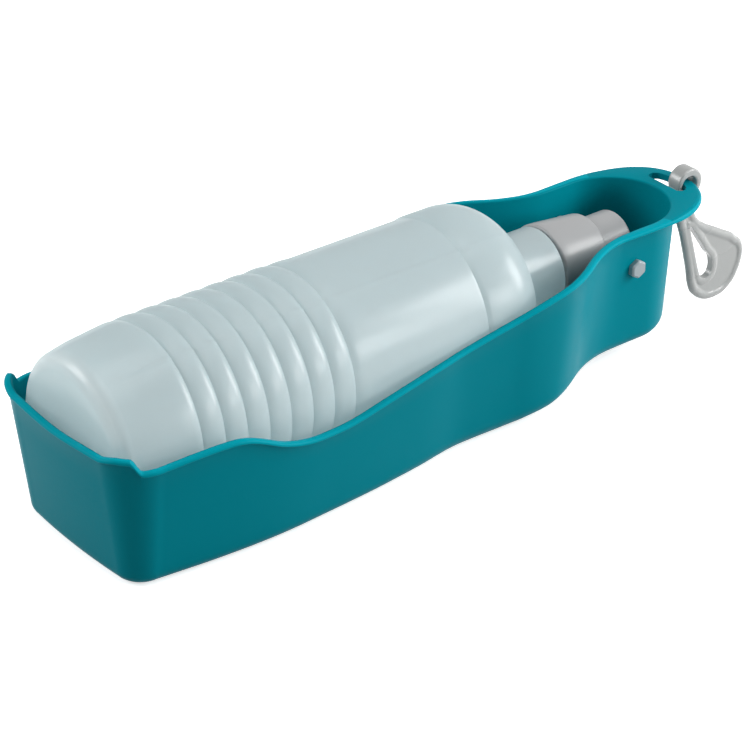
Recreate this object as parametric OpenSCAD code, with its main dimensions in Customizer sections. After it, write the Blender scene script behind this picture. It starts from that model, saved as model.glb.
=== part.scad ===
// Dog travel water bottle: a squeeze bottle that folds down into its own drinking trough.
// +X runs from the base of the bottle to the pivot end, Y = 0 is the symmetry plane,
// and the flat underside of the trough lies on z = 0.

/* [Bottle] */
// Outer radius of the bottle's plain body
bottle_r = 33.4; // [31:0.1:36]
// Length of the body, from the base to the root of the neck
bottle_body_l = 181.4; // [165:0.1:200]
// Wall of the bottle
bottle_wall = 1.2; // [0.8:0.1:2]
// Depth of the grip grooves below the crests
groove_depth = 1.1; // [0.4:0.1:2]
// Number of grip grooves
groove_count = 8; // [4:1:10]
// Radius of the smooth neck collar
collar_r = 15.4; // [14.6:0.1:15.7]

/* [Cap and valve] */
// Radius of the screw cap's rear edge
cap_rear_r = 15.8; // [15.6:0.1:17]
// Radius of the screw cap's front edge
cap_front_r = 13.9; // [13.6:0.1:15]
// Radius of the valve housing's barrel
barrel_r = 11.2; // [10:0.1:12]
// Radius of the spindle that the housing turns on
spindle_r = 4; // [3.95:0.05:4.2]
// Width across the flats of the spindle's keyed ends
hex_af = 6.8; // [6:0.1:7.4]
// Radius of the water channel through the housing
channel_r = 2.2; // [1.6:0.1:2.4]
// Swing at which the spindle's port lines up with the channel
open_angle = 115; // [105:1:118]

/* [Trough] */
// Wall thickness of the trough
wall = 1.8; // [1.4:0.1:2]
// How far the rim's lip stands out from the wall
lip_out = 1.2; // [0.8:0.1:2]
// Height of the rim's lip, and thickness of the flange
lip_h = 2.5; // [2:0.1:3]
// Rise of the underside below the neck
neck_rise = 6.3; // [4:0.1:7.5]
// Reach of the hanging flange beyond the neck's centre
flange_reach = 36.7; // [36:0.1:38]
// Width of the bar that the clip hangs on
bar_w = 5.2; // [4.4:0.1:5.4]

/* [Carry clip] */
// Width of the clip's ring along the bar
ring_w = 6.5; // [5:0.1:7]
// Thinnest wall of the clip's ring
ring_wall = 1.45; // [1.3:0.05:2]
// Thickness of the hook's raised edges
hook_t = 3.4; // [3:0.1:4.4]
// Thickness of the hook's web
web_t = 1.6; // [1.2:0.1:2.4]

/* [Hidden] */
$fn = 96;
fit = 0.05;      // radial clearance of the turning spindle
slack = 0.3;     // clearance between pieces that only pass each other

// Stations along X. Those left of the neck root are typed for a body 181.4 long and stretch with it.
neck_root_x = 50;
body_scale = bottle_body_l / 181.4;
function stretch(x) = x >= neck_root_x ? x : neck_root_x - (neck_root_x - x) * body_scale;
axis_z = bottle_r + 7.4;
base_x = neck_root_x - bottle_body_l;
collar_end_x = neck_root_x + 20.4;
mouth_x = collar_end_x + 15.6;
gasket_t = 1.9;
seat_x = mouth_x + gasket_t + 2 * fit;
cap_rear_x = collar_end_x + 2 * slack;
cap_front_x = seat_x + 4.8;
boss_r = 4.9;
pivot_x = cap_front_x + boss_r + 2 * fit;
barrel_front_x = pivot_x + 9.6;
thread_r = 13;
thread_root_r = 11.9;
mouth_r = 10.4;

// Trough: plan, drafts, fillets and rim
end_x = base_x - 1;              // foot of the base end wall
end_crown = 1;                   // how far its middle bows out
corner_r = 11;                   // plan radius of its corners
neck_half_w = cap_rear_r + 4.7;  // half width of the neck, which is also its round end's radius
neck_x = pivot_x + 7.7;          // centre of the round end
plan_z = 10;                     // height at which the plan is given
flange_above_axis = 15.2;
flange_z = axis_z + flange_above_axis;
end_rim = 8.7;                   // rim of the end wall above the bottle's axis
end_rise = 0.9;                  // how much higher it is where the corners start
horn_rim = 11.2;                 // rim of its raised corners above the axis

// Side of the trough: x, half width (0 = neck, 1 = bottle radius), rim above the axis
SIDE = [
    [-121, 1.124, 6.3], [-110, 1.225, 7.3], [-100, 1.302, 7.8], [-92, 1.349, 7.4],
    [-85, 1.380, 5.0], [-75, 1.403, 0.0], [-65, 1.388, -2.9], [-55, 1.341, -3.6],
    [-45, 1.295, -3.1], [-30, 1.209, -0.5], [-10, 1.062, 2.8], [5, 0.895, 4.5],
    [17, 0.868, 6.5], [30, 0.900, 9.1], [40, 0.980, 11.8], [49, 1.000, 13.8],
    [55, 0.922, 14.8], [62, 0.705, 15.2], [70, 0.380, 15.2], [77, 0.171, 15.2],
    [85, 0.039, 15.2], [95, 0, 15.2], [neck_x, 0, 15.2]
];
DRAFT = [[-132, 0.115], [-100, 0.112], [-30, 0.135], [10, 0.155], [35, 0.15], [75, 0.09], [90, 0.058]];
FILLET = [[-132, 5], [-30, 6], [10, 8], [40, 8], [80, 6]];
side_steps = 2;     // loft sections per station
corner_steps = 10;
round_steps = 12;
fillet_steps = 5;

function smooth(t) = let (u = min(max(t, 0), 1)) u * u * (3 - 2 * u);
function blend(a, b, t) = a + (b - a) * smooth(t);
function curve(a, b, c, d, t) =
    0.5 * (2 * b + (c - a) * t + (2 * a - 5 * b + 4 * c - d) * t * t + (3 * b - a - 3 * c + d) * t * t * t);
function pick(list, i) = list[min(max(i, 0), len(list) - 1)];

// One point of the side at station number s, as [x, half width, rim z]
function side_row(i) = let (r = pick(SIDE, i))
    [stretch(r[0]), neck_half_w + r[1] * (bottle_r - neck_half_w), axis_z + r[2]];
function side_at(s) = let (i = floor(s))
    curve(side_row(i - 1), side_row(i), side_row(i + 1), side_row(i + 2), s - i);
function side_normal(s) = let (d = side_at(s + 0.01) - side_at(s - 0.01), l = norm([d[0], d[1]]))
    [-d[1], d[0]] / l;

// Rim of a raised corner, for an angle from the end wall (0) to the side wall (90)
function horn_z(a) = a < 45
    ? axis_z + blend(end_rim + end_rise, horn_rim, a / 34)
    : axis_z + blend(horn_rim, SIDE[0][2], (a - 48) / 16);

// Reach of the flange's outline from the neck's centre, for an angle from its tip (0) to its side (90)
flange_half_w = neck_half_w + 4.7;
flange_power = 2.3;
function flange_r(a) = pow(pow(cos(a) / flange_reach, flange_power)
    + pow(sin(a) / flange_half_w, flange_power), -1 / flange_power);
function wall_off(x, z) = lookup(x / body_scale, DRAFT) * (z - plan_z);
neck_wall_r = neck_half_w + wall_off(neck_x, flange_z);

// Half of the plan, from the middle of the end wall to the tip of the round end.
// Each section is [foot point, outward direction, rim z, lip].
end_y = side_row(0)[1] - corner_r;
corner_x = end_x + corner_r;
HALF = concat(
    [for (k = [0:3]) [[end_x - end_crown * (1 - k * k / 16), end_y * k / 4], [-1, 0],
                      axis_z + blend(end_rim, end_rim + end_rise, k / 4), lip_out]],
    [for (k = [0:corner_steps - 1]) let (a = 90 * k / corner_steps, n = [-cos(a), sin(a)])
        [[corner_x, end_y] + corner_r * n, n, horn_z(a), lip_out]],
    [for (k = [0:(len(SIDE) - 1) * side_steps - 1]) let (s = k / side_steps, p = side_at(s))
        [[p[0], p[1]], k == 0 ? [0, 1] : side_normal(s), p[2],
         blend(lip_out, flange_half_w - neck_wall_r, (p[0] - 78) / 24)]],
    [for (k = [0:round_steps]) let (a = 90 - 90 * k / round_steps, n = [cos(a), sin(a)])
        [[neck_x, 0] + neck_half_w * n, n, flange_z, flange_r(a) - neck_wall_r]]
);
count = len(HALF);
RING = concat(HALF, [for (k = [count - 2:-1:1]) let (h = HALF[k])
    [[h[0][0], -h[0][1]], [h[1][0], -h[1][1]], h[2], h[3]]]);

// Section through the wall, from the outer floor edge round to the inner floor edge
function under_z(x) = neck_rise * smooth((x - 25) / 60);
function at(h, off, z) = [h[0][0] + off * h[1][0], h[0][1] + off * h[1][1], z];
function section(h) = let (
        x = h[0][0],
        u = under_z(x),
        f = lookup(x, FILLET),
        g = f - wall,
        co = wall_off(x, u + f) - f,
        ci = wall_off(x, u + f) - wall - g,
        top = h[2],
        ow = wall_off(x, top - lip_h),
        ot = wall_off(x, top)
    ) concat(
        [for (k = [0:fillet_steps]) let (a = 90 * k / fillet_steps) at(h, co + f * sin(a), u + f - f * cos(a))],
        [at(h, ow, top - lip_h), at(h, ow + h[3], top - lip_h + 0.4), at(h, ow + h[3], top - 0.8),
         at(h, ow + h[3] - 0.7, top), at(h, ot - wall + 0.5, top), at(h, ot - wall, top - 0.6)],
        [for (k = [fillet_steps:-1:0]) let (a = 90 * k / fillet_steps)
            at(h, ci + g * sin(a), u + wall + g - g * cos(a))]
    );

SECTIONS = [for (h = RING) section(h)];
per = len(SECTIONS[0]);
total = len(RING);
function vertex(i, k) = (i % total) * per + k;
SIDES = [for (i = [0:total - 1], k = [0:per - 2], half = [0, 1])
    half == 0 ? [vertex(i, k), vertex(i + 1, k), vertex(i + 1, k + 1)]
              : [vertex(i, k), vertex(i + 1, k + 1), vertex(i, k + 1)]];
// A floor is a row of strips, each between two sections and their mirror images.
function floor_faces(k, flip) = [for (i = [0:count - 2], half = [0, 1])
    let (a = vertex(i, k), b = vertex(i + 1, k), c = vertex(total - i - 1, k), d = vertex(total - i, k),
         face = half == 0 ? [a, c, b] : [a, d, c])
    if (half == 0 ? i < count - 2 : i > 0) flip ? [face[2], face[1], face[0]] : face];

module trough_shell() {
    polyhedron([for (s = SECTIONS, p = s) p],
               concat(SIDES, floor_faces(0, true), floor_faces(per - 1, false)), convexity = 8);
}

// Slot that the clip's ring passes through, and the bar left outside it
slot_w = 6;
slot_x = neck_x + flange_reach - bar_w - slot_w;
slot_half_w = 9;
bar_x = neck_x + flange_reach - bar_w / 2;
module slot_plan() {
    intersection() {
        translate([slot_x, -slot_half_w]) square([flange_reach, 2 * slot_half_w]);
        polygon([for (a = [-90:5:90]) [neck_x, 0] + (flange_r(abs(a)) - bar_w) * [cos(a), sin(a)]]);
    }
}

module hex_bar(af, l) {
    rotate([90, 0, 0]) cylinder(r = af / sqrt(3), h = l, center = true, $fn = 6);
}

module trough() {
    color("darkcyan") difference() {
        trough_shell();
        translate([0, 0, flange_z - lip_h - 1]) linear_extrude(lip_h + 2) slot_plan();
        translate([pivot_x, 0, axis_z]) rotate([0, 30, 0]) hex_bar(hex_af + 2 * fit, 3 * neck_half_w);
    }
}

// Spindle: fixed in the two walls, with a cross port and two seal grooves
wall_in = neck_half_w + wall_off(neck_x, axis_z) - wall;
spindle_end = wall_in + wall + 2.7;
boss_end = wall_in - 1.6;
seal_y = 9;
seal_r = 0.6;
groove_floor_r = spindle_r - 1.2;
port_r = channel_r - 0.4;
module at_pivot() {
    translate([pivot_x, 0, axis_z]) children();
}
module along_y(y) {
    translate([0, y, 0]) rotate([90, 0, 0]) children();
}
module seal_groove(y) {
    along_y(y) difference() {
        cylinder(r = spindle_r + 1, h = 2 * seal_r + 0.2, center = true);
        cylinder(r = groove_floor_r, h = 4 * seal_r, center = true);
    }
}
module valve_spindle() {
    color("gainsboro") at_pivot() difference() {
        union() {
            along_y(0) cylinder(r = spindle_r, h = 2 * wall_in - 0.8, center = true);
            rotate([0, 30, 0]) hex_bar(hex_af, 2 * spindle_end);
        }
        seal_groove(seal_y);
        seal_groove(-seal_y);
        rotate([0, open_angle - 90, 0]) cylinder(r = port_r, h = 4 * spindle_r, center = true);
    }
}

module spindle_seal(y) {
    color("dimgray") at_pivot() along_y(y)
        rotate_extrude() translate([spindle_r + fit / 2 - seal_r, 0]) circle(r = seal_r, $fn = 24);
}
module spindle_seal_near() { spindle_seal(-seal_y); }
module spindle_seal_far() { spindle_seal(seal_y); }

// A solid of revolution about the bottle's axis, from [x, radius] points
module turned(points) {
    translate([0, 0, axis_z]) rotate([0, 90, 0]) rotate_extrude()
        polygon([for (p = points) [p[1], p[0]]]);
}
function arc(cx, cr, r, from, to, steps) =
    [for (k = [0:steps]) let (a = from + (to - from) * k / steps) [cx + r * cos(a), cr + r * sin(a)]];

// Housing: barrel, side bosses that centre it between the walls, and a spigot that sits in the cap
spigot_r = 7.2;
barrel_rear_x = cap_front_x + fit;
module valve_housing() {
    color("silver") difference() {
        union() {
            turned(concat([[seat_x, 0], [seat_x, spigot_r], [barrel_rear_x, spigot_r], [barrel_rear_x, barrel_r]],
                          arc(barrel_front_x - 1.5, barrel_r - 1.5, 1.5, 90, 0, 5), [[barrel_front_x, 0]]));
            at_pivot() along_y(0) cylinder(r = boss_r, h = 2 * boss_end, center = true);
        }
        at_pivot() along_y(0) cylinder(r = spindle_r + fit, h = 3 * neck_half_w, center = true);
        at_pivot() rotate([0, 90, 0]) cylinder(r = channel_r, h = 60, center = true);
    }
}

// Cap: tapered collar that takes the bottle's thread, with a front wall on the housing's spigot
cap_bore_r = thread_r + slack;
module screw_cap() {
    color("silver") difference() {
        turned([[cap_rear_x, 0], [cap_rear_x, cap_rear_r - 0.6], [cap_rear_x + 0.6, cap_rear_r],
                [cap_rear_x + 4, cap_rear_r - 0.2], [cap_front_x - 1, cap_front_r], [cap_front_x, cap_front_r - 0.8],
                [cap_front_x, 0]]);
        turned([[cap_rear_x - 1, 0], [cap_rear_x - 1, cap_bore_r], [seat_x - 0.8, cap_bore_r],
                [seat_x, cap_bore_r - 1.2], [seat_x, 0]]);
        translate([cap_front_x - 6, 0, axis_z]) rotate([0, 90, 0]) cylinder(r = spigot_r + fit, h = 8);
    }
}

// Gasket: soft washer between the bottle's mouth and the cap's seat
gasket_in_r = mouth_r - 0.4;
gasket_out_r = thread_root_r;
module cap_gasket() {
    color("whitesmoke") turned([[mouth_x + fit, gasket_in_r], [mouth_x + fit, gasket_out_r],
                                [seat_x - fit, gasket_out_r], [seat_x - fit, gasket_in_r]]);
}

// Bottle: outline from the base to the mouth, then back along the inside of the wall
base_round = 6.1;
base_r = bottle_r - 2.15;
base_dish = 3;
rib_x0 = stretch(-101.2);
grip_l = 62.5 * body_scale;
rib_pitch = grip_l / (groove_count - 1);
groove_r = bottle_r - 0.4;
crest_r = groove_r + groove_depth;
groove_half_w = 1.5;
band_r = bottle_r + 0.5;
band_x0 = stretch(21);
shoulder_x = stretch(33);
// One groove and the crest after it, for an outline moved inward by t
function rib(i, t) = let (x = rib_x0 + i * rib_pitch)
    [for (q = [[-groove_half_w, 0.45], [-0.6, 0.06], [0.6, 0.06], [groove_half_w, 0.45],
               [0.33 * rib_pitch, 0.9], [0.5 * rib_pitch, 1], [0.67 * rib_pitch, 0.9]])
        if (i < groove_count - 1 || q[0] < 0.3 * rib_pitch)
            [x + q[0], groove_r - t + q[1] * groove_depth * (i == groove_count - 1 && q[0] > 1 ? 0.8 : 1)]];
function body_line(t) = concat(
    arc(base_x + base_round, base_r - base_round, base_round - t, 180, 95, 8),
    [[rib_x0 - 12, crest_r - 1 - t], [rib_x0 - 3, crest_r - 0.2 - t]],
    [for (i = [0:groove_count - 1]) each rib(i, t)],
    [[rib_x0 + grip_l + 4, bottle_r - t], [band_x0 - 1.5, bottle_r - t],
     [band_x0, band_r - t], [shoulder_x, band_r - t]],
    [for (k = [1:9]) let (a = 90 - 80 * k / 9)
        [shoulder_x + (neck_root_x - shoulder_x - t) * cos(a),
         collar_r + 1 - t + (band_r - collar_r - 1) * sin(a)]]
);
module bottle() {
    color("lightsteelblue") difference() {
        turned(concat([[base_x + base_dish, 0], [base_x + base_dish, 8]], body_line(0),
            [[neck_root_x + 1, collar_r + 0.4], [neck_root_x + 3, collar_r]],
            arc(collar_end_x - 2, collar_r - 2, 2, 90, 0, 6),
            [[collar_end_x, thread_root_r]],
            [for (x = [mouth_x - 11, mouth_x - 7, mouth_x - 3], q = [[-1, 0], [-0.4, 1], [0.4, 1], [1, 0]])
                [x + q[0], q[1] == 0 ? thread_root_r : thread_r]],
            [[mouth_x, thread_root_r], [mouth_x, 0]]));
        turned(concat([[base_x + base_dish + bottle_wall, 0], [base_x + base_dish + bottle_wall, 7]],
            body_line(bottle_wall), [[neck_root_x + 2, mouth_r + 1], [mouth_x - 8, mouth_r],
             [mouth_x + 1, mouth_r], [mouth_x + 1, 0]]));
    }
}

// Clip: outlines of the hook and its eye in their own plane, as [x, z] from the centre of the ring
clip_y = -2.7;
ring_z = flange_z - 0.55;
ring_in_r = 3.65;
ring_hole = [-0.36, -0.7];        // centre of the ring's hole: the ring is thicker on top
HOOK = [
    [-3.2, -5.2], [-3.5, -12], [-2.8, -17.3], [-1.1, -22.2], [0.2, -26.9], [1.7, -32.5], [3.1, -38.2],
    [4.2, -44], [5.7, -48.3], [7.8, -50.7], [10.1, -52.6], [13.2, -54.2], [16.3, -54.8], [19.1, -54.8],
    [22.4, -54.3], [25.6, -52.5], [28.6, -49.7], [31, -45.2], [32.2, -41], [32.3, -37.6], [31.5, -34.9],
    [30, -32.9], [28.2, -31.5], [26.1, -29.5], [22.4, -27.4], [17.5, -24.5], [12.5, -21.7], [9, -19.2],
    [7.2, -17.4], [5.5, -14.6], [4, -11], [3.2, -5.2]
];
EYE = [
    [3, -20], [5.1, -28], [7.8, -37.5], [9.2, -41.8], [10.4, -43.6], [12.5, -44.4], [14.5, -43.6],
    [15.7, -41.2], [15.7, -38.7], [14.9, -36.1], [12.6, -33.4], [10.3, -29.9], [7.4, -25.6], [4.7, -21.4]
];
function loop_curve(pts, steps) = [for (i = [0:len(pts) - 1], k = [0:steps - 1])
    let (n = len(pts))
    curve(pts[(i + n - 1) % n], pts[i], pts[(i + 1) % n], pts[(i + 2) % n], k / steps)];
gate_top = -19.8;
gate_foot = -42;
gate_play = 0.3;
// What a cut between the gate's ends leaves on the gate's side, widened by play
module gate_zone(play) {
    polygon([[-8, gate_top + play], [3.1, gate_top + play], [5 + play, -24], [9.7 + play, -41],
             [9 + play, gate_foot - play], [-8, gate_foot - play]]);
}
module hook_plan() {
    difference() {
        polygon(loop_curve(HOOK, 2));
        polygon(loop_curve(EYE, 3));
    }
}
module in_hook_plane(t) {
    translate([bar_x, clip_y + t / 2, ring_z]) rotate([90, 0, 0]) linear_extrude(t) children();
}
edge_w = 3;
// Recess of the web on both sides, inside the raised edges of the hook and the eye
module web_plan() {
    intersection() {
        offset(delta = -edge_w) polygon(loop_curve(HOOK, 2));
        difference() {
            translate([2, -60]) square([40, 42]);
            offset(delta = edge_w) polygon(loop_curve(EYE, 2));
        }
    }
}
module carry_clip() {
    color("silver") {
        translate([bar_x, clip_y, ring_z]) rotate([90, 0, 0]) difference() {
            cylinder(r = norm(ring_hole) + ring_in_r + ring_wall, h = ring_w, center = true);
            translate([ring_hole[0], ring_hole[1], 0]) cylinder(r = ring_in_r, h = 2 * ring_w, center = true);
        }
        in_hook_plane(web_t) difference() {
            hook_plan();
            gate_zone(gate_play);
        }
        in_hook_plane(hook_t) difference() {
            hook_plan();
            gate_zone(gate_play);
            web_plan();
        }
    }
}
module clip_gate() {
    color("silver") in_hook_plane(hook_t - 0.4) intersection() {
        hook_plan();
        gate_zone(0);
    }
}

trough();
valve_spindle();
spindle_seal_near();
spindle_seal_far();
valve_housing();
screw_cap();
cap_gasket();
bottle();
carry_clip();
clip_gate();
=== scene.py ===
"""Dog travel water bottle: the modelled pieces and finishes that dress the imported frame.

Lengths are written in millimetres and turned into metres where a mesh is made. X runs from the
base of the bottle to the pivot end, Z is up, Y = 0 is the symmetry plane and the underside of
the trough lies on Z = 0.
"""

import logging
import math
from dataclasses import dataclass, field
from enum import Enum
from typing import Callable, Iterable, Mapping, Sequence

import bmesh
import bpy
from mathutils import Matrix, Vector


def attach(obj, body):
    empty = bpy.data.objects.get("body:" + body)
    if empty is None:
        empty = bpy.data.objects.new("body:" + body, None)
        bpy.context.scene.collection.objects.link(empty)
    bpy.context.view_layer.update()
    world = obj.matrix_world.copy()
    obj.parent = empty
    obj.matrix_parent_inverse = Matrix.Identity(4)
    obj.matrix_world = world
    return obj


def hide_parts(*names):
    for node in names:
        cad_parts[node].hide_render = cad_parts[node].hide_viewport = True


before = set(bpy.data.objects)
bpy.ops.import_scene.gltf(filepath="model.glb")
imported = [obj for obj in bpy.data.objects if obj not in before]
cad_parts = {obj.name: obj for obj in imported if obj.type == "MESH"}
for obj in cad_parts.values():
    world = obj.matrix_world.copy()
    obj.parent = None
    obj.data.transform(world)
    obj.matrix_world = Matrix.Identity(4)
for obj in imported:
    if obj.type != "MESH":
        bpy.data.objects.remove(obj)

LOG = logging.getLogger("travel_bottle")
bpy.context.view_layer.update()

# The bottle swings about the line X = PIVOT_X, Z = AXIS_Z, and BODY_R is the radius of its plain
# body. THROUGH is half the length of a tool that cuts right across the trough.
MM = 0.001
PIVOT_X = 97.8
AXIS_Z = 40.8
BODY_R = 33.4
THROUGH = 40.0
Point2 = tuple[float, float]
Point3 = tuple[float, float, float]


# --------------------------------------------------------------------------- curves and meshes


def smooth_step(t: float) -> float:
    """Smooth rise from 0 to 1 while t goes from 0 to 1."""
    u = min(max(t, 0.0), 1.0)
    return u * u * (3.0 - 2.0 * u)


def ease(start: float, end: float, t: float) -> float:
    """Smooth change from start to end while t goes from 0 to 1."""
    return start + (end - start) * smooth_step(t)


def lookup(x: float, table: Sequence[Point2]) -> float:
    """Straight interpolation in a table of (x, value) rows.

    Args:
        x: where to read the table.
        table: rows in rising order of x.

    Returns:
        The value at x, held at the table's ends.
    """
    if x <= table[0][0]:
        return table[0][1]
    for (xa, va), (xb, vb) in zip(table, table[1:]):
        if x <= xb:
            return va + (vb - va) * (x - xa) / (xb - xa)
    return table[-1][1]


def catmull(rows: Sequence[Sequence[float]], s: float, closed: bool = False) -> list[float]:
    """Point of the smooth curve through rows, at row number s.

    Args:
        rows: points of any one dimension.
        s: place along the curve, counted in rows.
        closed: whether the last row leads back to the first.

    Returns:
        The interpolated point.
    """
    i, t, n = math.floor(s), s - math.floor(s), len(rows)

    def pick(k: int) -> Sequence[float]:
        """Row k, wrapped round a closed curve and held at the ends of an open one."""
        return rows[k % n] if closed else rows[min(max(k, 0), n - 1)]

    a, b, c, d = pick(i - 1), pick(i), pick(i + 1), pick(i + 2)
    return [
        0.5 * (2 * q + (r - p) * t + (2 * p - 5 * q + 4 * r - w) * t * t + (3 * q - p - 3 * r + w) * t ** 3)
        for p, q, r, w in zip(a, b, c, d)
    ]


def loop_points(rows: Sequence[Point2], steps: int) -> list[Point2]:
    """Closed smooth outline through rows, with a number of steps for each row."""
    return [tuple(catmull(rows, k / steps, closed=True)) for k in range(len(rows) * steps)]


def polar(r: float, angle: float) -> Point2:
    """Point at a distance from the origin, and at an angle in degrees from the first axis."""
    a = math.radians(angle)
    return (r * math.cos(a), r * math.sin(a))


def arc(cx: float, cy: float, r: float, start: float, end: float, steps: int) -> list[Point2]:
    """Points of a circular arc.

    Args:
        cx: first coordinate of the centre.
        cy: second coordinate of the centre.
        r: radius.
        start: first angle in degrees.
        end: last angle in degrees.
        steps: number of chords.

    Returns:
        The points, both ends included.
    """
    points = [polar(r, start + (end - start) * k / steps) for k in range(steps + 1)]
    return [(cx + x, cy + y) for x, y in points]


def circle(r: float, steps: int) -> list[Point2]:
    """Closed outline of a circle about the origin."""
    return arc(0.0, 0.0, r, 0, 360, steps)[:-1]


def at_pivot(angle: float, axis: str) -> Matrix:
    """Matrix in millimetres that turns by an angle in degrees about an axis and moves to the pivot."""
    return Matrix.Translation((PIVOT_X, 0.0, AXIS_Z)) @ Matrix.Rotation(math.radians(angle), 4, axis)


def tube_faces(rings: int, sides: int, closed: bool) -> list[tuple[int, ...]]:
    """Four-sided faces between rings of points that follow each other.

    Args:
        rings: number of rings.
        sides: number of points in each ring.
        closed: whether the last ring leads back to the first.

    Returns:
        Vertex numbers of each face.
    """
    pairs = [(i * sides, (i + 1) % rings * sides) for i in range(rings if closed else rings - 1)]
    return [(a + k, a + (k + 1) % sides, b + (k + 1) % sides, b + k) for a, b in pairs for k in range(sides)]


def new_object(name: str, data: bpy.types.ID) -> bpy.types.Object:
    """Puts a mesh, a lamp or a camera into the scene as an object of the same name.

    Args:
        name: name of the object.
        data: its mesh, lamp or camera.

    Returns:
        The object.
    """
    data.name = name
    obj = bpy.data.objects.new(name, data)
    bpy.context.scene.collection.objects.link(obj)
    return obj


def shade(mesh: bpy.types.Mesh, sharp_angle: float = 32.0) -> None:
    """Shades a mesh smooth, with sharp edges where it turns by more than an angle.

    Args:
        mesh: the mesh, which is changed.
        sharp_angle: the angle in degrees.
    """
    bm = bmesh.new()
    bm.from_mesh(mesh)
    limit = math.radians(sharp_angle)
    for face in bm.faces:
        face.smooth = True
    for edge in bm.edges:
        edge.smooth = edge.calc_face_angle(0.0) < limit
    bm.to_mesh(mesh)
    bm.free()


def mesh_from(name: str, points: Iterable[Point3], faces: Iterable[Sequence[int]]) -> bpy.types.Mesh:
    """Makes a mesh from points in millimetres, with its faces turned outwards.

    Args:
        name: name of the mesh.
        points: vertices in millimetres.
        faces: vertex numbers of each face.

    Returns:
        The mesh, in metres.
    """
    mesh = bpy.data.meshes.new(name)
    mesh.from_pydata([[v * MM for v in p] for p in points], [], list(faces))
    bm = bmesh.new()
    bm.from_mesh(mesh)
    bmesh.ops.remove_doubles(bm, verts=bm.verts, dist=1e-6)
    bmesh.ops.recalc_face_normals(bm, faces=bm.faces)
    bm.to_mesh(mesh)
    bm.free()
    return mesh


def turned(
    name: str, line: Sequence[Point2], sides: int = 160, swell: Callable[[float, float], float] | None = None
) -> bpy.types.Object:
    """Solid of revolution about the bottle's axis.

    Args:
        name: name of the piece.
        line: (x, radius) points; a radius of 0 closes the solid at the axis.
        sides: number of steps round.
        swell: extra radius for a place along X and an angle in degrees from straight up.

    Returns:
        The piece.
    """
    points: list[Point3] = []
    rings: list[list[int]] = []
    for x, r in line:
        if r < 1e-6:
            rings.append([len(points)] * sides)
            points.append((x, 0.0, AXIS_Z))
            continue
        rings.append(list(range(len(points), len(points) + sides)))
        for k in range(sides):
            a = 360.0 * k / sides
            up, side = polar(r + (swell(x, a) if swell else 0.0), a)
            points.append((x, side, AXIS_Z + up))
    faces: list[tuple[int, ...]] = []
    for one, two in zip(rings, rings[1:]):
        for k in range(sides):
            quad = (one[k], one[(k + 1) % sides], two[(k + 1) % sides], two[k])
            corners = tuple(dict.fromkeys(quad))
            if len(corners) > 2:
                faces.append(corners)
    obj = new_object(name, mesh_from(name, points, faces))
    shade(obj.data)
    return obj


class Mark(Enum):
    """Values that a mesh may carry for each face, for its finish to read."""

    # Faces that get a painted highlight: the lit rim of the trough and the rounded edge of the bottle's base.
    EDGE = "edge"
    LINING = "lining"


def mark_faces(obj: bpy.types.Object, mark: Mark, value: Callable[[int], float]) -> None:
    """Stores a value for each face.

    Args:
        obj: the piece.
        mark: which value.
        value: gives the value of a face by its number.
    """
    layer = obj.data.attributes.new(mark.value, "FLOAT", "FACE")
    for k in range(len(obj.data.polygons)):
        layer.data[k].value = value(k)


def prism(name: str, outline: Sequence[Point2], low: float, high: float, place: Matrix) -> bpy.types.Object:
    """Straight prism on an outline.

    Args:
        name: name of the object.
        outline: closed outline in the local XY plane, in millimetres.
        low: local Z of its first face.
        high: local Z of its last face.
        place: matrix from local millimetres to the part's millimetres.

    Returns:
        The prism.
    """
    n = len(outline)
    local = [(x, y, z) for z in (low, high) for x, y in outline]
    points = [tuple(place @ Vector(p)) for p in local]
    faces = [tuple(range(n)), tuple(range(n, 2 * n))]
    faces += [(k, (k + 1) % n, n + (k + 1) % n, n + k) for k in range(n)]
    return new_object(name, mesh_from(name, points, faces))


def apply_modifiers(obj: bpy.types.Object) -> None:
    """Replaces an object's mesh by its evaluated mesh and clears its modifiers.

    Args:
        obj: the object, which is changed.
    """
    graph = bpy.context.evaluated_depsgraph_get()
    mesh = bpy.data.meshes.new_from_object(obj.evaluated_get(graph))
    obj.modifiers.clear()
    obj.data = mesh
    mesh.name = obj.name


class Tooling(Enum):
    """What tools do to a piece."""

    CUT = "DIFFERENCE"
    JOIN = "UNION"
    KEEP_INSIDE = "INTERSECT"


def machine(obj: bpy.types.Object, tooling: Tooling, tools: Sequence[bpy.types.Object]) -> None:
    """Cuts a piece with closed tools, joins them to it or keeps what lies inside them.

    Args:
        obj: the piece, which is changed.
        tooling: what the tools do.
        tools: closed objects, which are deleted.
    """
    for tool in tools:
        step = obj.modifiers.new("tool", "BOOLEAN")
        step.operation = tooling.value
        step.solver = "EXACT"
        step.object = tool
    bpy.context.view_layer.update()
    apply_modifiers(obj)
    for tool in tools:
        bpy.data.objects.remove(tool)


def fuse(name: str, parts: Sequence[bpy.types.Object], voxel: float, rounds: int) -> bpy.types.Object:
    """Melts overlapping closed parts into one moulded skin.

    Args:
        name: name of the finished piece.
        parts: closed objects, which are deleted.
        voxel: size of the remesh grid in millimetres.
        rounds: smoothing passes.

    Returns:
        The moulded piece.
    """
    bm = bmesh.new()
    for part in parts:
        bm.from_mesh(part.data)
        bpy.data.objects.remove(part)
    mesh = bpy.data.meshes.new(name)
    bm.to_mesh(mesh)
    bm.free()
    obj = new_object(name, mesh)
    grid = obj.modifiers.new("melt", "REMESH")
    grid.mode = "VOXEL"
    grid.voxel_size = voxel * MM
    soft = obj.modifiers.new("soften", "SMOOTH")
    soft.factor = 0.5
    soft.iterations = rounds
    bpy.context.view_layer.update()
    apply_modifiers(obj)
    return obj


# --------------------------------------------------------------------------- finishes


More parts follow.
